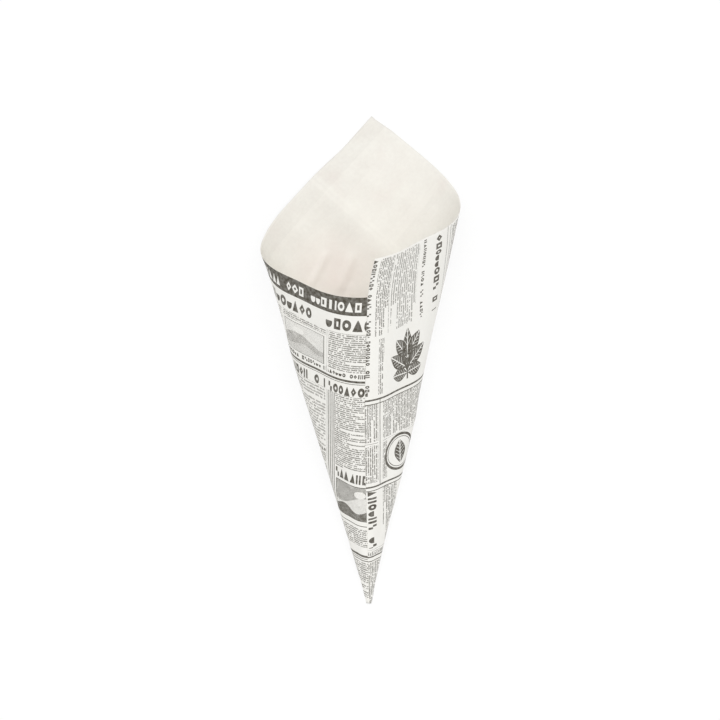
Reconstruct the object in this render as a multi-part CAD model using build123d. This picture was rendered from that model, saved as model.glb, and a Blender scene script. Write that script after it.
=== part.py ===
from build123d import *
import os
from math import atan, atan2, ceil, cos, pi, radians, sin, sqrt

# A paper cone for chips: one sheet rolled about its corner and glued along a lapped seam.
# It lies on its back as it comes to rest, seam up, point towards -Y, mouth towards +Y.

# The flat sheet, in millimetres from its tip corner
free_edge = 218.0  # edge of the outer flap, seen along the seam
hidden_edge = 195.0  # edge of the inner flap, under the outer one
far_corner_along = 227.5  # the tall back corner, measured along the free edge
far_corner_across = 180.5  # the same corner, measured away from the free edge
corner_angle = 90.0  # degrees between the two edges at the tip
paper = 0.3  # wall, heavier than real paper so that it stays a sound solid

# How the sheet is rolled
lap_angle = 4.5  # degrees of the flat sheet that lie double at the seam
tuck_angle = 12.0  # degrees of the sheet over which it steps down under the outer flap
tip_opening = 0.95  # the small round left open at the blunt point
pressed_reach = 30.0  # up to here from the tip the lap is pressed together towards the point
seam_turn = 8.5  # degrees from the middle of the front round to the free edge

# The section across the cone, as shares of its mean radius
wide = 0.06  # wider than it is deep
three_sided = 0.105  # two rounded back corners and a narrower front
four_sided = 0.025  # fuller shoulders
flat_half_turn = 14.0  # degrees from the middle of the back to each side of its flat strip

# How finely the form is followed
round_steps = 720
slope_halvings = 30
points_per_curve = 4
widest_face = 3.0  # degrees of the sheet that a curved face covers at most
nudge = 1e-4  # radians to each side when the paper's direction is measured
hair = 1e-9


def round_radius(turn):
    """Radius of the section before its back is flat, at a turn from the middle of the front."""
    return 1 - wide * cos(2 * turn) + three_sided * cos(3 * turn) + four_sided * cos(4 * turn)


flat_edge = radians(flat_half_turn)
flat_depth = round_radius(pi - flat_edge) * cos(flat_edge)


def section_radius(turn):
    """Radius of the section at a turn, with a mean of one."""
    radius = round_radius(turn)
    if -radius * cos(turn) > flat_depth:
        radius = -flat_depth / cos(turn)
    return radius


def along_paper(turn, slope):
    """Unit direction from the tip along the paper: to the right, to the front, up the axis."""
    radius = slope * section_radius(turn)
    length = sqrt(1 + radius**2)
    return (radius * sin(turn) / length, radius * cos(turn) / length, 1 / length)


def unrolled(slope):
    """Angle of flat sheet used from the middle of the front round to each step."""
    angles = [0.0]
    last = along_paper(0, slope)
    for step in range(1, round_steps + 1):
        now = along_paper(2 * pi * step / round_steps, slope)
        angles.append(angles[-1] + sqrt(sum((a - b) ** 2 for a, b in zip(now, last))))
        last = now
    return angles


def slope_for_one_turn(wanted):
    """Mean slope of the cone at which one turn uses the wanted angle of sheet."""
    low, high = 0.01, 2.0
    for _ in range(slope_halvings):
        middle = (low + high) / 2
        if unrolled(middle)[-1] < wanted:
            low = middle
        else:
            high = middle
    return (low + high) / 2


corner = radians(corner_angle)
lap = radians(lap_angle)
tuck = radians(tuck_angle)
slope = slope_for_one_turn(corner - lap)
sheet_used = unrolled(slope)
one_turn = sheet_used[-1]
back_slope = atan(slope * flat_depth)
tip_reach = (tip_opening / 2 + paper) / slope
far_corner_angle = corner - atan2(far_corner_across, far_corner_along)


def sheet_used_at(turn):
    """Angle of flat sheet from the middle of the front round to a turn."""
    place = turn / (2 * pi) * round_steps
    step = int(place)
    return sheet_used[step] + (place - step) * (sheet_used[step + 1] - sheet_used[step])


def turn_at(angle):
    """Turn round the cone at an angle of the flat sheet, measured from the hidden edge.

    From there the sheet runs to the left, round the back and over itself at the seam.
    """
    used = (sheet_used_at(radians(seam_turn)) + lap - angle) % one_turn
    step = 0
    while sheet_used[step + 1] < used:
        step += 1
    share = (used - sheet_used[step]) / (sheet_used[step + 1] - sheet_used[step])
    return (step + share) * 2 * pi / round_steps


def on_flat_back(turn):
    """Whether the cone at this turn belongs to the flat back."""
    return section_radius(turn) * cos(turn) <= -flat_depth * (1 - hair)


def outward(turn):
    """Unit direction out of the paper, square to it."""
    if on_flat_back(turn):
        return (0.0, -cos(back_slope), -sin(back_slope))
    ahead = Vector(*along_paper(turn + nudge, slope))
    behind = Vector(*along_paper(turn - nudge, slope))
    return tuple(Vector(*along_paper(turn, slope)).cross(ahead - behind).normalized())


def laid_down(right, front, up):
    """A point of the upright cone, placed as it lies on its flat back."""
    y = up * cos(back_slope) - front * sin(back_slope)
    z = up * sin(back_slope) + front * cos(back_slope)
    return Vector(right, y, z + paper)


def place(angle, reach, height):
    """A point at an angle of the sheet, its reach from the tip and its height off the form."""
    turn = turn_at(angle)
    ray = along_paper(turn, slope)
    out = outward(turn)
    return laid_down(*(reach * a + height * b for a, b in zip(ray, out)))


def sheet_reach(angle):
    """Distance from the tip to the sheet's top edge, on a ray at this angle."""
    ray = (cos(corner - angle), sin(corner - angle))
    far = (far_corner_along, far_corner_across)
    if angle >= far_corner_angle:
        near = (free_edge, 0.0)
    else:
        near = (hidden_edge * cos(corner), hidden_edge * sin(corner))
    edge = (far[0] - near[0], far[1] - near[1])
    return (near[0] * edge[1] - near[1] * edge[0]) / (ray[0] * edge[1] - ray[1] * edge[0])


def inner(angle, reach):
    """Height of the paper's inner side: it steps in by one wall where it goes under the seam."""
    under = (1 + cos(pi * min(1.0, max(0.0, (angle - lap) / tuck)))) / 2
    loose = min(1.0, (reach - tip_reach) / (pressed_reach - tip_reach))
    return -paper * under * loose


def outer(angle, reach):
    """Height of the paper's outer side."""
    return inner(angle, reach) + paper


def tip(angle):
    """Reach of the blunt point, the same all the way round."""
    return tip_reach


def pressed(angle):
    """Reach above which the lap has its two full walls."""
    return pressed_reach


def ruled(edge, other):
    """Face of straight lines from one edge to another."""
    return Face.make_surface_from_curves(edge, other)


def curve(start, end, reach, height):
    """Edge between two angles of the sheet, at a reach and height that follow the angle."""
    if on_flat_back(turn_at((start + end) / 2)):
        angles = [start, end]
    else:
        last = points_per_curve - 1
        angles = [start + (end - start) * n / last for n in range(points_per_curve)]
    points = [place(angle, reach(angle), height(angle, reach(angle))) for angle in angles]
    if len(points) == 2:
        return Edge.make_line(*points)
    return Edge.make_spline(points, parameters=[float(n) for n in range(len(points))])


def flat_ends():
    """Angles of the sheet at the left and right side of the flat back."""
    on_flat = [n for n in range(round_steps) if on_flat_back(2 * pi * n / round_steps)]
    start = sheet_used_at(radians(seam_turn)) + lap
    return [start - sheet_used[n] + one_turn for n in (on_flat[-1], on_flat[0])]


def flat_face(start, end, height):
    """Flat face of one side of the paper on the back, with the tall corner if it is there."""
    top = [start, end]
    if start < far_corner_angle < end:
        top.insert(1, far_corner_angle)
    outline = [(angle, sheet_reach(angle)) for angle in top]
    outline += [(end, pressed_reach), (end, tip_reach), (start, tip_reach), (start, pressed_reach)]
    points = [place(angle, reach, height(angle, reach)) for angle, reach in outline]
    return Face(Wire.make_polygon(points))


def side(start, end, height):
    """Faces of one side of the paper, from the blunt point up to its top edge."""
    if on_flat_back(turn_at((start + end) / 2)):
        return [flat_face(start, end, height)]
    rims = [curve(start, end, reach, height) for reach in (tip, pressed, sheet_reach)]
    return [ruled(*pair) for pair in zip(rims, rims[1:])]


def rim(start, end, reach):
    """Face across the paper's own thickness."""
    return ruled(curve(start, end, reach, inner), curve(start, end, reach, outer))


def spread(start, end):
    """Angles of the sheet from start up to end, close enough for the curved faces between."""
    count = max(1, ceil((end - start) / radians(widest_face)))
    return [start + (end - start) * n / count for n in range(count)]


def single_layer():
    """Faces of the sheet where it lies single, all the way round from the seam."""
    flat_start, flat_end = flat_ends()
    stops = [*spread(lap, flat_start), flat_start, *spread(flat_end, one_turn), one_turn]
    if not flat_start < far_corner_angle < flat_end:
        stops.append(far_corner_angle)
    stops.sort()
    corners = sorted({*stops, far_corner_angle})
    faces = [rim(start, end, sheet_reach) for start, end in zip(corners, corners[1:])]
    for start, end in zip(stops, stops[1:]):
        faces += [*side(start, end, inner), *side(start, end, outer), rim(start, end, tip)]
    return faces


def lapped_seam():
    """Faces where the outer flap is glued over the inner one and stands above it."""
    inner_tip = curve(0, lap, tip, inner)
    inner_top = curve(0, lap, sheet_reach, inner)
    joint_top = curve(0, lap, sheet_reach, outer)
    flap_tip = curve(one_turn, corner, tip, outer)
    flap_inner_top = curve(one_turn, corner, sheet_reach, inner)
    flap_outer_top = curve(one_turn, corner, sheet_reach, outer)
    hidden_end = [(tip_reach, 0), (pressed_reach, -paper), (hidden_edge, -paper)]
    hidden_end += [(hidden_edge, 0), (pressed_reach, 0)]
    free_end = [(tip_reach, paper), (pressed_reach, 0), (sheet_reach(lap), 0), (free_edge, 0)]
    free_end += [(free_edge, paper), (pressed_reach, paper)]
    return [
        *side(0, lap, inner),
        *side(one_turn, corner, outer),
        ruled(inner_tip, flap_tip),
        ruled(inner_top, joint_top),
        ruled(joint_top, flap_inner_top),
        ruled(flap_inner_top, flap_outer_top),
        Face(Wire.make_polygon([place(0, *at) for at in hidden_end])),
        Face(Wire.make_polygon([place(corner, *at) for at in free_end])),
    ]


def paper_cone():
    """The whole cone as one solid, with its origin under the middle of its outline."""
    solid = Solid(Shell(single_layer() + lapped_seam()))
    box = solid.bounding_box()
    centre = box.center()
    return solid.moved(Location((-centre.X, -centre.Y, -box.min.Z)))


os.makedirs("parts", exist_ok=True)
cone = paper_cone()
export_step(cone, "parts/paper_cone.step")
size = cone.bounding_box().size
print("valid", cone.is_valid, "volume", round(cone.volume, 1), "size", size)
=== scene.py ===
import math

import bpy
import numpy as np
from mathutils import Matrix, Vector


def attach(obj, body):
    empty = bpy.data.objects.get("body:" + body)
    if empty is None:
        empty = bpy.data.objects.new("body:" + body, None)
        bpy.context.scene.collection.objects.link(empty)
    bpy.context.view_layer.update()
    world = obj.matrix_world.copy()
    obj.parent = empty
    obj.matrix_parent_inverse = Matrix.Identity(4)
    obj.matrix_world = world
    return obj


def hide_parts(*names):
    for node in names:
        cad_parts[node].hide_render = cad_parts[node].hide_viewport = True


# A paper cone for chips, lying on its back: one printed sheet, rolled about its corner.
# Lengths are in millimetres, and become metres where the mesh is made. A place in the sheet is
# an angle at its tip, measured from the hidden edge, and a reach from the tip.
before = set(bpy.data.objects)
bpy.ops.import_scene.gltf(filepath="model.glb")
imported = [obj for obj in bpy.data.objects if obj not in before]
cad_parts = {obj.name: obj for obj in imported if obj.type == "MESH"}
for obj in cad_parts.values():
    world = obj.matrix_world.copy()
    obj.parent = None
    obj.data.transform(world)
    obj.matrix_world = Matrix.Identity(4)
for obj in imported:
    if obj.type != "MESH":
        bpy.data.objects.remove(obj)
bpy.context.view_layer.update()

MILLIMETRES = 1000.0  # in a metre
MAP_SIZE = 250.0  # millimetres of paper across the whole of the mesh's map

# The flat sheet, and how it is rolled, as in the solid
FREE_EDGE = 218.0
HIDDEN_EDGE = 195.0
FAR_CORNER = (227.5, 180.5)
CORNER = math.radians(90.0)
LAP = math.radians(4.5)
TUCK = math.radians(12.0)
SEAM_TURN = math.radians(8.5)
WALL = 0.3
WIDE = 0.06
THREE_SIDED = 0.105
FOUR_SIDED = 0.025
FLAT_HALF_TURN = math.radians(14.0)

# The paper as it looks: where its point ends, its thickness and its step under the outer flap
TIP_REACH = 4.6
PAPER = 0.2
STEP_UNDER = 0.25

# How finely the form is followed
TURN_STEPS = 1440
SLOPE_RANGE = (0.01, 2.0)
SLOPE_HALVINGS = 30
NUDGE = 1e-4
PLACE_ROUNDS = 12
ANGLE_CELLS = (128, 96)
REACH_CELLS = 150

# How far the free edge lies past its straight line, at distances from the tip, and the angles
# of the sheet over which the paper follows it
EDGE_REACH = (0.0, 29.0, 63.5, 89.0, 123.0, 156.5, 181.0, 193.5, 199.0, 208.5, 218.0)
EDGE_SHIFT = (0.0, 0.8, 1.6, 2.45, 2.85, 2.2, 1.6, 1.2, 0.6, -0.6, -2.6)
EDGE_ANGLES = (math.radians(58.0), CORNER)

# The lifted top corner of the free edge: its height, and the angles and reaches it rises over
CORNER_LIFT = 1.6
LIFT_ANGLES = (math.radians(78.0), CORNER)
LIFT_REACH = (192.0, 220.0)

# How far the mouth's edge lies past its straight lines, at angles of the sheet in degrees
MOUTH_ANGLE = (31.0, 34.0, 36.0, 38.0, 41.0, 44.0, 46.0, 48.0, 52.0, 54.0, 57.0, 60.0, 66.0,
               69.0, 72.0)
MOUTH_SHIFT = (0.0, 0.3, 1.0, 1.4, 1.2, 1.2, 0.3, -1.1, -0.7, 1.1, 1.7, 2.1, 1.9, 0.8, 0.0)

# Soft creases from handling: both ends in the flat sheet, their width and how far they stand in,
# with less than nothing where the paper bulges out
CREASES = (
    (146.0, 149.5, 129.0, 146.0, 2.3, 1.1),
    (154.0, 136.5, 138.0, 131.5, 3.0, 1.5),
    (141.0, 126.0, 126.0, 119.0, 2.2, 0.8),
    (172.0, 178.0, 166.0, 131.0, 7.0, 0.9),
    (186.0, 176.0, 205.0, 150.0, 9.0, 0.6),
    (92.0, 152.0, 97.0, 178.0, 15.0, 1.2),
    (60.0, 23.0, 107.0, 41.5, 10.0, -1.1),
)
CREASE_REACH = (30.0, 90.0)
SEAM_MARGIN = 0.1

# Slow waves all over the paper
WAVE_DEPTH = 0.25
WAVE_START = 1.3
WAVE_ALONG, WAVE_ACROSS, WAVE_SLANT = 17.0, 21.0, 60.0

# The narrow end is drawn in by this much, from the point on and up to these reaches
DRAWN_IN = 0.6
DRAWN_FROM = (4.0, 18.0)
DRAWN_UP_TO = (50.0, 110.0)


# The rolled form

def round_radius(turn):
    """Radius of the section before its back is flat, at a turn from the middle of the front."""
    return (
        1
        - WIDE * np.cos(2 * turn)
        + THREE_SIDED * np.cos(3 * turn)
        + FOUR_SIDED * np.cos(4 * turn)
    )


FLAT_DEPTH = round_radius(math.pi - FLAT_HALF_TURN) * math.cos(FLAT_HALF_TURN)


def section_radius(turn):
    """Radius of the section at a turn, with its flat back."""
    radius = round_radius(turn)
    back = np.cos(turn)
    flat = -radius * back > FLAT_DEPTH
    return np.where(flat, -FLAT_DEPTH / np.where(flat, back, -1.0), radius)


def along_paper(turn, slope):
    """Unit directions from the tip along the paper: right, front, up the axis."""
    radius = slope * section_radius(turn)
    ray = np.stack([radius * np.sin(turn), radius * np.cos(turn), np.ones_like(radius)], -1)
    return ray / np.sqrt(1 + radius**2)[..., None]


TURNS = np.linspace(0, 2 * math.pi, TURN_STEPS + 1)


def unrolled(slope):
    """Angle of flat sheet used up to each turn."""
    steps = np.diff(along_paper(TURNS, slope), axis=0)
    return np.concatenate([[0.0], np.cumsum(np.linalg.norm(steps, axis=1))])


def slope_for_one_turn(wanted):
    """Mean slope of the cone at which one turn uses the wanted angle of sheet."""
    low, high = SLOPE_RANGE
    for _ in range(SLOPE_HALVINGS):
        middle = (low + high) / 2
        if unrolled(middle)[-1] < wanted:
            low = middle
        else:
            high = middle
    return (low + high) / 2


SLOPE = slope_for_one_turn(CORNER - LAP)
USED = unrolled(SLOPE)
ONE_TURN = USED[-1]
BACK_SLOPE = math.atan(SLOPE * FLAT_DEPTH)
FAR_ANGLE = CORNER - math.atan2(FAR_CORNER[1], FAR_CORNER[0])


def turn_at(angle):
    """Turn round the cone at an angle of the sheet."""
    used = (np.interp(SEAM_TURN, TURNS, USED) + LAP - angle) % ONE_TURN
    return np.interp(used, USED, TURNS)


def placed(angle, reach, height):
    """Points of the lying cone, at angles of the sheet, reaches and heights off the form."""
    turn = turn_at(angle)
    ray = along_paper(turn, SLOPE)
    out = np.cross(ray, along_paper(turn + NUDGE, SLOPE) - along_paper(turn - NUDGE, SLOPE))
    out /= np.linalg.norm(out, axis=-1, keepdims=True)
    right, front, up = np.moveaxis(reach[..., None] * ray + height[..., None] * out, -1, 0)
    y = up * math.cos(BACK_SLOPE) - front * math.sin(BACK_SLOPE)
    z = up * math.sin(BACK_SLOPE) + front * math.cos(BACK_SLOPE)
    return np.stack([right, y, z + WALL], -1)


def sheet_reach(angle):
    """Distance from the tip to the sheet's straight top edges."""
    across, along = np.sin(CORNER - angle), np.cos(CORNER - angle)
    by_free_edge = angle >= FAR_ANGLE
    near_x = np.where(by_free_edge, FREE_EDGE, 0.0)
    near_y = np.where(by_free_edge, 0.0, HIDDEN_EDGE)
    edge_x = FAR_CORNER[0] - near_x
    edge_y = FAR_CORNER[1] - near_y
    return (near_x * edge_y - near_y * edge_x) / (along * edge_y - across * edge_x)


def eased(value, start, end):
    """Soft step from nothing at the start to one at the end."""
    share = np.clip((value - start) / (end - start), 0.0, 1.0)
    return share * share * (3 - 2 * share)


# The paper's own mesh

def sheet_grid():
    """Angles and reaches of the mesh's points, with lines of points on all edges."""
    first, second = ANGLE_CELLS
    angles = np.concatenate([
        np.linspace(0, FAR_ANGLE, first + 1),
        np.linspace(FAR_ANGLE, CORNER, second + 1)[1:],
    ])
    share = np.linspace(0, 1, REACH_CELLS + 1)
    angle = np.repeat(angles[:, None], len(share), axis=1)
    top = sheet_reach(angle) + np.interp(np.degrees(angle), MOUTH_ANGLE, MOUTH_SHIFT)
    return angle, TIP_REACH + (top - TIP_REACH) * share


def bent(angle, reach):
    """Angle and lift of the paper once its free edge bows and its corner lifts."""
    shift = np.interp(reach, EDGE_REACH, EDGE_SHIFT) * eased(angle, *EDGE_ANGLES)
    lift = CORNER_LIFT * eased(reach, *LIFT_REACH) * eased(angle, *LIFT_ANGLES)
    return angle + shift / reach, lift


def creased(angle, reach):
    """How far the handled paper stands in from its smooth form."""
    x = reach * np.sin(angle)
    y = reach * np.cos(angle)
    wave = np.sin(x / WAVE_ALONG + WAVE_START) * np.sin(y / WAVE_ACROSS + x / WAVE_SLANT)
    depth = WAVE_DEPTH * (1 + wave)
    for x0, y0, x1, y1, width, height in CREASES:
        long_x, long_y = x1 - x0, y1 - y0
        share = ((x - x0) * long_x + (y - y0) * long_y) / (long_x**2 + long_y**2)
        held = np.clip(share, 0, 1)
        away = np.hypot(x - x0 - held * long_x, y - y0 - held * long_y)
        depth = depth + height * np.exp(-((away / width) ** 2))
    past_tuck = eased(angle - LAP - TUCK, 0.0, SEAM_MARGIN)
    before_seam = eased(ONE_TURN - angle, 0.0, SEAM_MARGIN)
    drawn_in = DRAWN_IN * eased(reach, *DRAWN_FROM) * (1 - eased(reach, *DRAWN_UP_TO))
    return depth * past_tuck * before_seam * eased(reach, *CREASE_REACH) + drawn_in


def base_height(angle):
    """Height of the paper's inner side: it steps under the outer flap."""
    under = (1 + np.cos(math.pi * np.clip((angle - LAP) / TUCK, 0, 1))) / 2
    return WALL - PAPER - STEP_UNDER * under


def print_place(angle, reach):
    """Place in the print, which keeps parallel to the sheet's edges."""
    x = reach * np.sin(angle)
    y = reach * np.cos(angle)
    s = x / FREE_EDGE
    for _ in range(PLACE_ROUNDS):
        t = y / (HIDDEN_EDGE - (HIDDEN_EDGE - FAR_CORNER[1]) * s)
        s = x / (FREE_EDGE + (FAR_CORNER[0] - FREE_EDGE) * t)
    return np.stack([s * FREE_EDGE, t * HIDDEN_EDGE], -1)


def centring(angle, reach):
    """Shift that puts the middle of the outline over the origin and its lowest point on it."""
    points = placed(angle, reach, np.full_like(angle, WALL)).reshape(-1, 3)
    low, high = points.min(0), points.max(0)
    middle = (low + high) / 2
    return np.array([-middle[0], -middle[1], -low[2]])


def sheet_faces(columns, rows):
    """Faces of the outer side, then those of the inner side and of the paper's own edge."""
    outer = np.arange(columns * rows).reshape(columns, rows)
    inner = outer + columns * rows
    a, b = outer[:-1, :-1].ravel(), outer[1:, :-1].ravel()
    c, d = outer[1:, 1:].ravel(), outer[:-1, 1:].ravel()
    rest = [np.stack([a, b, c, d], 1) + columns * rows]
    for edge in (np.s_[:, 0], np.s_[-1, :], np.s_[::-1, -1], np.s_[0, ::-1]):
        line, under = outer[edge], inner[edge]
        rest.append(np.stack([line[:-1], line[1:], under[1:], under[:-1]], 1))
    return np.stack([a, d, c, b], 1), np.concatenate(rest)


def make_paper():
    """The rolled sheet as one closed mesh, with the outside's material and the inside's."""
    angle, reach = sheet_grid()
    moved, lift = bent(angle, reach)
    height = base_height(angle) + lift - creased(angle, reach)
    offset = centring(angle, reach)
    sides = [placed(moved, reach, height + PAPER), placed(moved, reach, height)]
    points = np.concatenate([(side + offset).reshape(-1, 3) for side in sides]) / MILLIMETRES
    outer_faces, other_faces = sheet_faces(*angle.shape)
    faces = np.concatenate([outer_faces, other_faces])
    mesh = bpy.data.meshes.new("printed_paper_sheet")
    mesh.from_pydata(points.tolist(), [], faces.tolist())
    place = print_place(angle, reach).reshape(-1, 2) / MAP_SIZE
    place = np.concatenate([place, place])
    corners = np.empty(len(mesh.loops), np.int32)
    mesh.loops.foreach_get("vertex_index", corners)
    layer = mesh.uv_layers.new(name="sheet")
    layer.data.foreach_set("uv", place[corners].ravel().astype(np.float32))
    material = np.zeros(len(faces), np.int32)
    material[len(outer_faces):] = 1
    mesh.polygons.foreach_set("material_index", material)
    mesh.polygons.foreach_set("use_smooth", np.ones(len(faces), bool))
    sheet = bpy.data.objects.new("printed_paper_sheet", mesh)
    bpy.context.scene.collection.objects.link(sheet)
    mesh.validate()
    mesh.update()
    return sheet


# Shader arithmetic

class Field:
    """A number or colour that varies over the surface. Each operation adds one Math node."""

    tree = None

    def __init__(self, socket):
        self.socket = socket

    @classmethod
    def math(cls, operation, *values):
        node = cls.tree.nodes.new("ShaderNodeMath")
        node.operation = operation
        for socket, value in zip(node.inputs, values):
            feed(socket, value)
        return cls(node.outputs[0])

    def __add__(self, other):
        return Field.math("ADD", self, other)

    def __sub__(self, other):
        return Field.math("SUBTRACT", self, other)

    def __rsub__(self, other):
        return Field.math("SUBTRACT", other, self)

    def __mul__(self, other):
        return Field.math("MULTIPLY", self, other)

    def __truediv__(self, other):
        return Field.math("DIVIDE", self, other)

    def __lt__(self, other):
        return Field.math("LESS_THAN", self, other)

    def __ge__(self, other):
        return 1 - (self < other)

    def __gt__(self, other):
        return Field.math("GREATER_THAN", self, other)

    def __or__(self, other):
        return Field.math("MAXIMUM", self, other)

    __and__ = __mul__
    __radd__ = __add__
    __rmul__ = __mul__

    def floor(self):
        return Field.math("FLOOR", self)

    def fract(self):
        return Field.math("FRACT", self)

    def abs(self):
        return Field.math("ABSOLUTE", self)

    def sine(self):
        return Field.math("SINE", self)

    def near(self, value, reach):
        return Field.math("COMPARE", self, value, reach)


def feed(socket, value):
    """Links a field to a socket, or sets a plain value on it."""
    if isinstance(value, Field):
        Field.tree.links.new(value.socket, socket)
    else:
        socket.default_value = value


def constant(value):
    """A plain number as a field, to add to."""
    return Field.math("ADD", value, 0.0)


def between(value, low, high):
    """Whether a number lies between two others."""
    return (value > low) & (value < high)


def pick(number, low, high):
    """Whether a random number falls in one share of the whole."""
    return (number >= low) & (number < high)


def any_of(*fields):
    """Ink where at least one of the fields has it."""
    ink, *others = fields
    for other in others:
        ink = ink | other
    return ink


def lines_at(value, places):
    """Lines at places of one direction, each with half its width."""
    return any_of(*[value.near(at, half_width) for at, half_width in places])


def vector(x, y, z):
    """Three numbers as one place."""
    node = Field.tree.nodes.new("ShaderNodeCombineXYZ")
    for socket, value in zip(node.inputs, (x, y, z)):
        feed(socket, value)
    return Field(node.outputs[0])


def split_colour(colour):
    """The three parts of a colour."""
    node = Field.tree.nodes.new("ShaderNodeSeparateColor")
    feed(node.inputs[0], colour)
    return [Field(socket) for socket in node.outputs]


def chance(x, y, seed):
    """Three numbers between 0 and 1 for each whole pair x, y."""
    noise = Field.tree.nodes.new("ShaderNodeTexWhiteNoise")
    noise.noise_dimensions = "3D"
    feed(noise.inputs["Vector"], vector(x, y, seed))
    return split_colour(Field(noise.outputs["Color"]))


def cloud(x, y, seed, detail=2.0):
    """Soft noise between 0 and 1."""
    noise = Field.tree.nodes.new("ShaderNodeTexNoise")
    noise.noise_dimensions = "3D"
    noise.inputs["Scale"].default_value = 1.0
    noise.inputs["Detail"].default_value = detail
    feed(noise.inputs["Vector"], vector(x, y, seed))
    return Field(noise.outputs["Fac"])


def oval(x, y, wide, tall):
    """Distance from the middle of an oval, which is one on its edge."""
    return Field.math("SQRT", (x / wide) * (x / wide) + (y / tall) * (y / tall))


def place_in_print(place):
    """Place in the print, in millimetres, from the mesh's map."""
    split = Field.tree.nodes.new("ShaderNodeSeparateXYZ")
    feed(split.inputs[0], place)
    return [Field(socket) * MAP_SIZE for socket in split.outputs[:2]]


# The print: a page plan of plain newsprint, made of strokes and simple shapes.
# Its columns divide x, along the free edge, and its rows divide y, away from that edge.
ROW = 3.9
COLUMN_EDGES = (0.0, 38.0, 77.5, 104.5, 131.5, 169.0, 218.0)

# Kinds of print in a row, each with its tone on the other side of the paper: blank, fine and
# coarse text, small, middling and heading marks, dark band, thin rule and double rule
TONES = {
    ".": 0.3,
    "t": 0.42,
    "s": 0.34,
    "h": 0.45,
    "M": 0.5,
    "H": 0.6,
    "B": 0.85,
    "-": 0.3,
    "=": 0.35,
}
KINDS = "".join(TONES)
KIND_STEPS = 10

# The rows of each column from the far end down to the free edge
PLAN = (
    "B3 H3 t6 h1 =1 M2 t12 M2 .6 -1 t3 .1 =1 t8",
    "B3 H3 t1 .5 h1 =1 M2 s10 h1 t8 -1 t4 .4 t3 .1 M2",
    "B3 H3 s9 h1 t8 -1 t5 h1 t8 .7 t1 -1 t2",
    "B3 H3 t9 =1 .9 h1 s9 t12 -1 t2",
    "B3 H3 t9 h1 t8 .1 -1 t5 -1 -1 .14 t1 .1 h1",
    "B3 H3 t9 -1 .9 h1 t5 -1 -1 .1 M2 .2 h1 .1 s6 t3 h1",
)

# Marks: their width, the foot and top in their line, the weight of a stroke and a seed, then
# the chances between which each shape is drawn, with none below the first
HEADING_MARKS = (5.6, 0.2, 0.8, 0.3, 13.0)
MIDDLING_MARKS = (4.1, 0.12, 0.88, 0.32, 47.0)
SMALL_MARKS = (2.3, 0.17, 0.83, 0.32, 25.0)
BAND_MARKS = (4.9, 0.22, 0.72, 0.26, 36.0)
MARK_SHARES = (0.14, 0.28, 0.42, 0.54, 0.66, 0.78, 0.9, 1.1)
FIRST_ROW_RAISED = 0.16

# Text: lines in a row and the strength of their ink, and the room at a column's sides
FINE_LINES, FINE_INK = 3, 0.88
COARSE_LINES, COARSE_INK = 2, 0.66
COLUMN_MARGIN = 1.1

# Rules along a row, as shares of its height, then rules along a column or round the corner at
# the tip, and places kept clear for them, in millimetres: the middle and half the width of each
THIN_RULE = ((0.5, 0.06),)
DOUBLE_RULE = ((0.66, 0.17), (0.26, 0.05))
COLUMN_RULES = ((38.0, 0.12), (104.5, 0.12))
FLAP_RULES = ((131.5, 0.55), (128.9, 0.25), (77.5, 0.5), (75.2, 0.25))
CORNER_RULES = ((33.6, 0.4), (30.9, 0.25))
FLAP_CLEAR = ((131.5, 2.6), (77.5, 2.6))
CORNER_CLEAR = (32.2, 2.2)
FLAP_WIDTH = 74.0
CAPTION_CLEAR = (15.6, 0.7)
BAND_FOOT = 0.03

# A block of stripes between two columns
STRIPES_X = (31.0, 37.6)
STRIPES_Y = (53.0, 133.0)
STRIPE_PITCH, STRIPE_SHARE = 1.65, 0.36

# Plain landscapes: middle and half size, tones of sky, hills and ground, and a phase
PICTURES = (
    (57.6, 157.8, 17.5, 9.2, 0.2, 0.5, 0.38, 0.8),
    (16.0, 66.4, 14.0, 10.8, 0.55, 0.24, 0.85, 2.9),
    (118.0, 115.0, 11.8, 15.5, 0.2, 0.6, 0.8, 1.7),
    (193.5, 115.0, 22.0, 15.5, 0.65, 0.85, 0.4, 5.6),
)
DOTS = 4.4  # radians of the landscapes' dots to a millimetre

# Leaves of the sprig: the stalk's place where each grows, its turn, length and width
SPRIG_MIDDLE = (153.0, 33.0)
SPRIG_LEAVES = (
    (-13.0, 0.0, 28.0, 4.6),
    (-10.0, 0.95, 19.0, 4.2),
    (-10.0, -0.95, 19.0, 4.2),
    (-3.0, 0.7, 17.0, 4.2),
    (-3.0, -0.7, 17.0, 4.2),
    (-13.0, 1.5, 13.0, 4.2),
    (-13.0, -1.5, 13.0, 4.2),
)
STALK = (-17.0, -4.0)
STALK_HALF_WIDTH = 0.6

# The ringed leaf: its middle, half size and rings
SEAL_MIDDLE = (93.0, 26.5)
SEAL_HALF_SIZE = (10.6, 11.6)
SEAL_RINGS = ((1.0, 0.07), (0.84, 0.02))
SEAL_LEAF = (-7.5, 0.0, 15.0, 4.4)

# What shows on the other side: the landscapes' tone, a soft darker band and a pale double line
PICTURE_SHOWS = 0.3
SOFT_BAND = (160.0, 158.0, 11.0, 36.0)
SOFT_BAND_TONE = 0.7
PALE_LINES = ((168.0, 0.7), (168.0, 1.3), (171.2, 0.7), (171.2, 1.5))
PALE_LINES_TONE = 0.2


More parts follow.
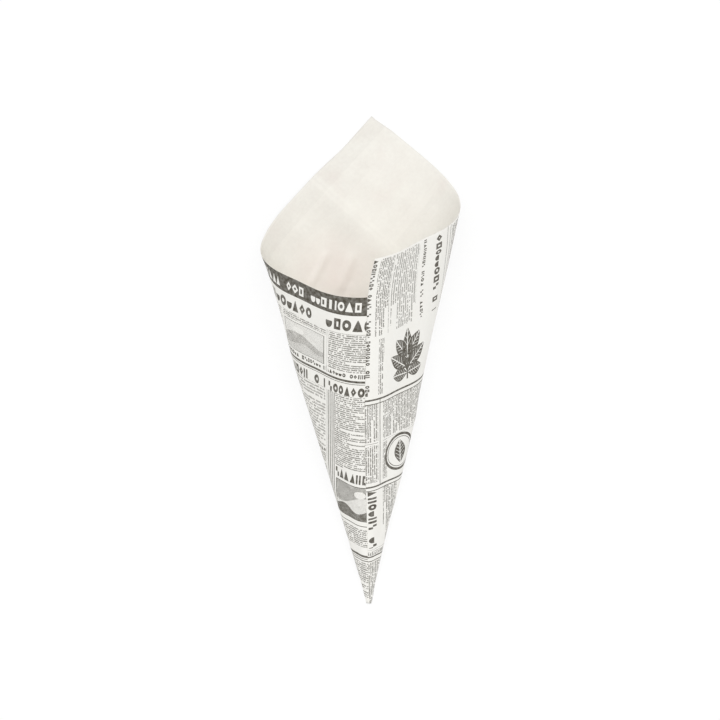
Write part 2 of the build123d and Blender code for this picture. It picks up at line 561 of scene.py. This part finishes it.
def plan_ramp(row, plan):
    """The kind of print in each row of one column, as a number."""
    runs = [(part[0], int(part[1:])) for part in plan.split()]
    total = sum(count for _, count in runs)
    stops = []
    at = 0
    for kind, count in reversed(runs):
        stops.append((at / total, KINDS.index(kind) / KIND_STEPS))
        at += count
    ramp = Field.tree.nodes.new("ShaderNodeValToRGB")
    ramp.color_ramp.interpolation = "CONSTANT"
    elements = ramp.color_ramp.elements
    elements.remove(elements[1])
    elements[0].position = stops[0][0]
    for position, _ in stops[1:]:
        elements.new(position)
    for element, (_, value) in zip(elements, stops):
        element.color = (value, value, value, 1)
    feed(ramp.inputs[0], row / total)
    return split_colour(Field(ramp.outputs[0]))[0]


def marks(x, line, height, width, low, high, weight, seed):
    """Heavy plain shapes in a line, each in a square from -1 to 1."""
    wander = cloud(x / (width * 3.1), line * 7.3, seed) * 1.4
    run = x / width + wander + line * 3.37
    lean = (run.fract() - 0.5) * 2.3
    across = lean.abs()
    up = ((height - low) / (high - low) - 0.5) * 2
    rise = up.abs()
    distance = Field.math("SQRT", across * across + up * up)
    window_slot = (across < 0.86 - 2 * weight) * (rise < 1 - 1.8 * weight)
    shapes = (
        distance.near(0.97 - weight, weight),  # ring
        (across < 0.86) & (1 - window_slot),  # window
        across.near(0.88 - weight, weight),  # two bars
        across < 0.52 - up * 0.46,  # triangle
        (distance < 0.98) & (up < 0.3),  # bowl
        (across < 0.84) & (lean * up > 0),  # chequer
        (across + rise).near(1 - 1.2 * weight, 1.2 * weight),  # lozenge
    )
    which = chance(run.floor(), line, seed)[0]
    shares = zip(shapes, MARK_SHARES, MARK_SHARES[1:])
    drawn = any_of(*[shape & pick(which, start, stop) for shape, start, stop in shares])
    return drawn & (across < 0.98) & (rise < 1.0)


def body_text(x, y, column, share, pitch):
    """Fine strokes in lines, as small print looks from afar. Some lines end early.

    Numbers are shares of a stroke's place, of the line's height or of the column's width.
    """
    line = (y / pitch).floor()
    height = (y / pitch).fract()
    start, stop, last = chance(line, column, 3.0)
    run = x / (0.5 * pitch) + start * 9.0
    first, second, third = chance(run.floor(), line, 5.0)
    local = run.fract()
    top = 0.76 + 0.16 * (third > 0.7)
    foot = 0.22 - 0.14 * (third < 0.12)
    strokes = (local < 0.38) | (between(local, 0.56, 0.92) & (second > 0.2))
    bar = (height - 0.3 - second * 0.35).abs() < 0.12
    ink = (strokes | bar) & (height > foot) & (height < top) & (first > 0.14)
    ended = (last < 0.13) & (share < stop * 0.7)
    return ink & (1 - ended)


def leaf(x, y, root, turn, length, width):
    """A leaf on a stalk that runs along x, dark with a light rib and veins."""
    dx = x - root
    along = (dx * math.cos(turn) + y * math.sin(turn)) / length
    across = (y * math.cos(turn) - dx * math.sin(turn)).abs() / width
    edge = (along * math.pi).sine()
    blade = (across < edge) & between(along, 0.0, 1.0)
    rib = across < 0.07
    veins = ((along * 7.0 - across * 1.6).fract() < 0.14) & (across < edge * 0.8)
    return blade & (1 - (rib | veins))


def sprig(x, y):
    """A sprig of leaves on a stalk."""
    leaves = [leaf(x, y, *values) for values in SPRIG_LEAVES]
    return any_of(*leaves, between(x, *STALK) & (y.abs() < STALK_HALF_WIDTH))


def seal(x, y):
    """A leaf in a double ring."""
    return lines_at(oval(x, y, *SEAL_HALF_SIZE), SEAL_RINGS) | leaf(x, y, *SEAL_LEAF)


def picture(x, y, middle_x, middle_y, half_x, half_y, sky, hill, ground, phase):
    """Tone of a plain landscape in a frame, and the frame's line."""
    u = (x - middle_x) / half_x
    v = (y - middle_y) / half_y
    size = u.abs() | v.abs()
    far = v < 0.05 + 0.3 * (u * 2.6 + phase).sine()
    close = v < -0.45 + 0.16 * (u * 4.1 + phase * 2).sine()
    sun = oval(u - 0.35 * math.cos(phase), v - 0.52, 0.26, 0.21) < 1.0
    tone = sky + (hill - sky) * far + (ground - hill) * close
    tone = tone * (1 - 0.85 * sun) + 0.25 * (cloud(u * 3.0, v * 3.0, phase) - 0.5)
    return tone & (size < 0.97), size.near(0.985, 0.015)


def page_columns(x):
    """Number of the column at a place, and where the column starts and stops."""
    column, start, stop = constant(0.0), constant(0.0), constant(COLUMN_EDGES[1])
    for before, edge, after in zip(COLUMN_EDGES, COLUMN_EDGES[1:], COLUMN_EDGES[2:]):
        past = x > edge
        column = column + past
        start = start + past * (edge - before)
        stop = stop + past * (after - edge)
    return column, start, stop


def draw_print(x, y):
    """Share of ink at a place of the sheet, and the tone that shows on its other side."""
    column, start, stop = page_columns(x)
    row = y / ROW
    kind = constant(0.0)
    for number, plan in enumerate(PLAN):
        kind = kind + plan_ramp(row, plan) * column.near(number, 0.5)
    of_kind = {letter: kind.near(KINDS.index(letter) / KIND_STEPS, 0.04) for letter in KINDS}

    corner = x | y
    on_flap = y < FLAP_WIDTH
    striped = between(x, *STRIPES_X) & between(y, *STRIPES_Y)
    clear = any_of(
        lines_at(x, FLAP_CLEAR) & on_flap,
        corner.near(*CORNER_CLEAR),
        striped,
        (x > COLUMN_EDGES[-2]) & y.near(*CAPTION_CLEAR),
    )
    in_column = (x > start + COLUMN_MARGIN) & (x < stop - COLUMN_MARGIN) & (1 - clear)
    share = (x - start) / (stop - start)
    fine = body_text(x, y, column, share, ROW / FINE_LINES) & of_kind["t"]
    coarse = body_text(x, y, column, share, ROW / COARSE_LINES) & of_kind["s"]
    text = (fine * FINE_INK | coarse * COARSE_INK) & in_column

    # Marks are one, two or three rows high, and those of three rows start at the third row
    one, two, three = row.fract(), (row / 2).fract(), ((row - 2) / 3).fract()
    second_row = (row / 2).floor()
    third_row = ((row - 2) / 3).floor()
    heading = marks(x, third_row, three, *HEADING_MARKS) & of_kind["H"]
    middling = marks(x, second_row, two, *MIDDLING_MARKS) & of_kind["M"] & in_column
    raised = one + FIRST_ROW_RAISED * (y < ROW)
    small = marks(x, row.floor(), raised, *SMALL_MARKS) & of_kind["h"] & in_column
    cut_out = marks(x, third_row, three, *BAND_MARKS)
    band = of_kind["B"] & (three > BAND_FOOT) & (1 - cut_out)

    tones, frames = zip(*[picture(x, y, *values) for values in PICTURES])
    tone = any_of(constant(0.0), *tones)
    screen = ((x + y) * DOTS).sine() * ((x - y) * DOTS).sine() * 0.5 + 0.5
    rules = any_of(
        of_kind["-"] & lines_at(one, THIN_RULE),
        of_kind["="] & lines_at(one, DOUBLE_RULE),
        lines_at(x, COLUMN_RULES) & (of_kind["t"] | of_kind["h"]),
        lines_at(x, FLAP_RULES) & on_flap,
        lines_at(corner, CORNER_RULES),
        striped & ((x / STRIPE_PITCH).fract() < STRIPE_SHARE),
    )
    plant = sprig(x - SPRIG_MIDDLE[0], y - SPRIG_MIDDLE[1])
    ringed_leaf = seal(x - SEAL_MIDDLE[0], y - SEAL_MIDDLE[1])
    ink = any_of(
        text, heading, middling, small, band, tone > screen, *frames, plant, ringed_leaf, rules,
    )

    shown = tone * PICTURE_SHOWS
    for letter, shade in TONES.items():
        shown = shown + shade * of_kind[letter]
    middle_x, middle_y, wide, tall = SOFT_BAND
    soft_band = (1.0 - oval(x - middle_x, y - middle_y, wide, tall)) | 0.0
    shown = shown + soft_band * SOFT_BAND_TONE
    pale = constant(0.0)
    for at, half_width in PALE_LINES:
        pale = pale + x.near(at, half_width)
    return ink, shown * (1 - PALE_LINES_TONE * pale)


def build_print():
    """Node group that gives the ink and the show-through at a place of the sheet."""
    group = bpy.data.node_groups.new("newsprint", "ShaderNodeTree")
    group.interface.new_socket("Place", in_out="INPUT", socket_type="NodeSocketVector")
    group.interface.new_socket("Ink", in_out="OUTPUT", socket_type="NodeSocketFloat")
    group.interface.new_socket("Tone", in_out="OUTPUT", socket_type="NodeSocketFloat")
    Field.tree = group
    place = Field(group.nodes.new("NodeGroupInput").outputs[0])
    end = group.nodes.new("NodeGroupOutput")
    for socket, value in zip(end.inputs, draw_print(*place_in_print(place))):
        feed(socket, value)
    return group


# Clouds in the paper, each with its size, seed and octaves of detail
MOTTLE = (14.0, 3.0, 3.0)
FLECKS = (2.1, 17.0, 3.0)
FIBRE = (0.8, 9.0, 2.0)
BLUSH = (24.0, 41.0, 1.0)
COCKLE = (6.0, 27.0, 3.0)

# How the clouds colour the paper: mottling, where its warmth starts and how fast it grows, the
# same of the blush, and a patch of painted shade low in the mouth, darker and pinker, with its
# strength
MOTTLE_WEIGHT = 0.9
WARM_START, WARM_GAIN = 0.15, 1.5
BLUSH_START, BLUSH_GAIN = 0.6, 2.0
LOW_PAINTED_SHADE_OVAL = (136.0, 144.0, 32.0, 34.0)
LOW_PAINTED_SHADE = 0.85

# How the flecks vary the ink and the show-through: the least share and what they add
INK_LEAST, INK_FLECKS = 0.7, 0.5
SHOWN_LEAST, SHOWN_FLECKS = 0.75, 0.5

# Sheen and relief
SPECULAR = 0.2
FIBRE_RELIEF = 0.25
BUMP_STRENGTH = 0.3
BUMP_METRES = 0.0004


def linear(value):
    """Linear light of one part of a screen colour, from 0 to 255."""
    value /= 255
    return value / 12.92 if value <= 0.04045 else ((value + 0.055) / 1.055) ** 2.4


def colour(red, green, blue):
    """A screen colour, from 0 to 255, as a shader takes it."""
    return (linear(red), linear(green), linear(blue), 1.0)


def mixed(factor, first, second):
    """Colour between two, by a factor that varies."""
    node = Field.tree.nodes.new("ShaderNodeMix")
    node.data_type = "RGBA"
    node.clamp_factor = True
    for number, value in ((0, factor), (6, first), (7, second)):
        feed(node.inputs[number], value)
    return Field(node.outputs[2])


def paper_material(name, base, warm, blush_and_shade_colour, ink, strength, behind, grain, roughness):
    """Paper with its own mottling and a patch of painted shade low in the mouth, printed with
    ink of a strength, or with print behind it.

    The print group gives both sides the same page, so the inside's show-through lies under it.
    """
    material = bpy.data.materials.new(name)
    material.use_nodes = True
    tree = material.node_tree
    Field.tree = tree
    shader = tree.nodes["Principled BSDF"]
    uv_map = tree.nodes.new("ShaderNodeUVMap")
    uv_map.uv_map = "sheet"
    place = Field(uv_map.outputs[0])
    x, y = place_in_print(place)
    printed = tree.nodes.new("ShaderNodeGroup")
    printed.node_tree = PRINT
    feed(printed.inputs[0], place)
    print_ink, print_tone = [Field(socket) for socket in printed.outputs]

    def paper_cloud(size, seed, detail):
        return cloud(x / size, y / size, seed, detail)

    mottle = paper_cloud(*MOTTLE)
    flecks = paper_cloud(*FLECKS)
    # Painted shade: a darker, pinker patch low in the mouth, strongest at its middle
    middle_x, middle_y, wide, tall = LOW_PAINTED_SHADE_OVAL
    low_painted_shade = (1.0 - oval(x - middle_x, y - middle_y, wide, tall)) * LOW_PAINTED_SHADE
    blush_and_painted_shade = (paper_cloud(*BLUSH) - BLUSH_START) * BLUSH_GAIN | low_painted_shade
    warmth = mottle * MOTTLE_WEIGHT + (flecks - 0.5) * grain - WARM_START
    paper = mixed(warmth * WARM_GAIN, base, warm)
    # The random blush clouds and the painted shade patch both mix in this one colour
    paper = mixed((blush_and_painted_shade | 0.0) * (0.5 + mottle), paper, blush_and_shade_colour)
    amount = print_ink * strength * (INK_LEAST + INK_FLECKS * flecks)
    amount = amount + print_tone * behind * (SHOWN_LEAST + SHOWN_FLECKS * flecks)
    feed(shader.inputs["Base Color"], mixed(amount, paper, ink))
    shader.inputs["Roughness"].default_value = roughness
    shader.inputs["Specular IOR Level"].default_value = SPECULAR
    bump = tree.nodes.new("ShaderNodeBump")
    bump.inputs["Strength"].default_value = BUMP_STRENGTH
    bump.inputs["Distance"].default_value = BUMP_METRES
    feed(bump.inputs["Height"], paper_cloud(*FIBRE) * FIBRE_RELIEF + paper_cloud(*COCKLE))
    feed(shader.inputs["Normal"], Field(bump.outputs[0]))
    return material


PRINT = build_print()
outside = paper_material(
    "printed_outside",
    base=colour(251, 250, 245),
    # Colour of the random blush, and of the painted shade patch at the same place of the sheet
    warm=colour(247, 245, 239),
    blush_and_shade_colour=colour(248, 244, 240),
    ink=colour(78, 73, 62),
    strength=0.97,
    behind=0.0,
    grain=0.8,
    roughness=0.62,
)
inside = paper_material(
    "bare_inside",
    base=colour(249, 247, 240),
    warm=colour(240, 236, 229),
    # Colour of the random blush, and of the painted shade low in the mouth
    blush_and_shade_colour=colour(240, 230, 224),
    ink=colour(126, 122, 112),
    strength=0.012,
    behind=0.1,
    grain=0.4,
    roughness=0.78,
)

sheet = make_paper()
sheet.data.materials.append(outside)
sheet.data.materials.append(inside)
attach(sheet, "root")
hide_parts("paper_cone")


# Floor, light and camera, in metres

FLOOR_SIZE = 8.0
FLOOR_HEIGHT = -0.0003
FLOOR_GREY = 0.92
FLOOR_GLOW = 1.03
GLOW_SHARE = 0.82
SKY_LIGHT = 0.68
KEY_ENERGY = 1.2
KEY_ANGLE = math.radians(50)
KEY_DIRECTION = (-0.05, -0.3, -1.0)

CAMERA_TARGET = (-0.0029, -0.0033, 0.04)
CAMERA_DISTANCE = 2.4
CAMERA_TILT = math.radians(-4.14)
CAMERA_ASIDE = math.radians(0.632)
CAMERA_ROLL = math.radians(-1.96)
CAMERA_REACH = 50.0
FOCAL_PIXELS = 4175.0
IMAGE_PIXELS = 720
SENSOR_WIDTH = 36.0


def seen_directly(tree):
    """One where the camera, a reflection or a view through glass meets the surface."""
    Field.tree = tree
    path = tree.nodes.new("ShaderNodeLightPath")
    rays = ("Is Camera Ray", "Is Glossy Ray", "Is Transmission Ray")
    return any_of(*[Field(path.outputs[ray]) for ray in rays])


def make_floor():
    """Pale floor that looks white, lights the object plainly and keeps its shadow."""
    bpy.ops.mesh.primitive_plane_add(size=FLOOR_SIZE, location=(0, 0, FLOOR_HEIGHT))
    floor = bpy.context.object
    floor.name = "floor"
    material = bpy.data.materials.new("floor_white")
    material.use_nodes = True
    tree = material.node_tree
    tree.nodes.clear()
    out = tree.nodes.new("ShaderNodeOutputMaterial")
    mix = tree.nodes.new("ShaderNodeMixShader")
    diffuse = tree.nodes.new("ShaderNodeBsdfDiffuse")
    diffuse.inputs["Color"].default_value = (FLOOR_GREY, FLOOR_GREY, FLOOR_GREY, 1)
    glow = tree.nodes.new("ShaderNodeEmission")
    glow.inputs["Strength"].default_value = FLOOR_GLOW
    feed(mix.inputs[0], seen_directly(tree) * GLOW_SHARE)
    feed(mix.inputs[1], Field(diffuse.outputs[0]))
    feed(mix.inputs[2], Field(glow.outputs[0]))
    feed(out.inputs[0], Field(mix.outputs[0]))
    floor.data.materials.append(material)


def make_light():
    """Even light from all round, white where it is seen, and a soft key from above."""
    scene = bpy.context.scene
    world = bpy.data.worlds.new("studio")
    scene.world = world
    world.use_nodes = True
    tree = world.node_tree
    tree.nodes.clear()
    out = tree.nodes.new("ShaderNodeOutputWorld")
    background = tree.nodes.new("ShaderNodeBackground")
    background.inputs["Color"].default_value = (1, 1, 1, 1)
    brightness = SKY_LIGHT + (1 - SKY_LIGHT) * seen_directly(tree)
    feed(background.inputs["Strength"], brightness)
    feed(out.inputs[0], Field(background.outputs[0]))
    lamp = bpy.data.lights.new("soft_key", "SUN")
    lamp.energy = KEY_ENERGY
    lamp.angle = KEY_ANGLE
    key = bpy.data.objects.new("soft_key", lamp)
    key.rotation_euler = Vector(KEY_DIRECTION).to_track_quat("-Z", "Y").to_euler()
    scene.collection.objects.link(key)


def make_camera():
    """Looks down on the lying cone, as in the photograph."""
    level = math.cos(CAMERA_TILT)
    back = Vector((
        math.sin(CAMERA_ASIDE) * level,
        math.sin(CAMERA_TILT),
        math.cos(CAMERA_ASIDE) * level,
    ))
    back.normalize()
    right = Vector((0, 1, 0)).cross(back).normalized()
    up = back.cross(right)
    turned_right = math.cos(CAMERA_ROLL) * right + math.sin(CAMERA_ROLL) * up
    turned_up = -math.sin(CAMERA_ROLL) * right + math.cos(CAMERA_ROLL) * up
    data = bpy.data.cameras.new("camera")
    data.sensor_width = SENSOR_WIDTH
    data.lens = FOCAL_PIXELS / IMAGE_PIXELS * SENSOR_WIDTH
    data.clip_end = CAMERA_REACH
    camera = bpy.data.objects.new("camera", data)
    axes = Matrix((turned_right, turned_up, back)).transposed().to_4x4()
    place = Matrix.Translation(Vector(CAMERA_TARGET) + CAMERA_DISTANCE * back)
    camera.matrix_world = place @ axes
    bpy.context.scene.collection.objects.link(camera)
    bpy.context.scene.camera = camera


make_floor()
make_light()
make_camera()
bpy.context.scene.view_settings.view_transform = "Standard"
